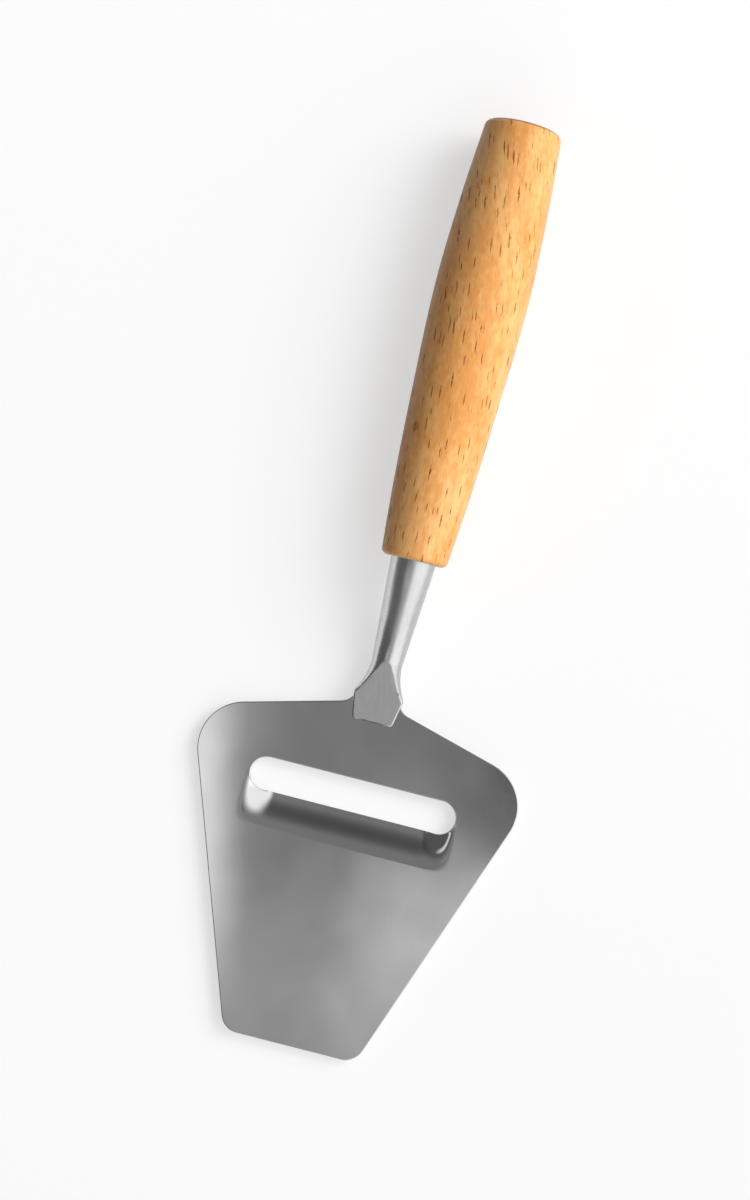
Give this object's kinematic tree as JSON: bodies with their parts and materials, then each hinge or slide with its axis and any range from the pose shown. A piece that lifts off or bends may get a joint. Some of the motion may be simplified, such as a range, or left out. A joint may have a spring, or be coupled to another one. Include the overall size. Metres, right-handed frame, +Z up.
{
  "type": "cheese slicer",
  "caption": "Hand cheese slicer: a tapered steel blade with a slot and a pressed cutting lip, a cranked round neck and a turned beech handle.",
  "frame": {"origin": "on the table, under the middle of the tool's length, as it lies with its blade level", "axes": "+Z up, towards the blade's upper face; +Y along the tool from the blade's tip to the handle's end; +X across it"},
  "size_m": [0.082, 0.2356, 0.0236],
  "materials": {
    "blade_steel": "satin stainless steel",
    "neck_steel": "polished stainless steel",
    "beech": "oiled beech, satin",
    "epoxy": "set clear epoxy, amber"
  },
  "bodies": {
    "root": {"blade_plate": "blade_steel", "neck_shaft": "neck_steel", "handle": "beech", "tang_adhesive": "epoxy"}
  },
  "joints": []
}
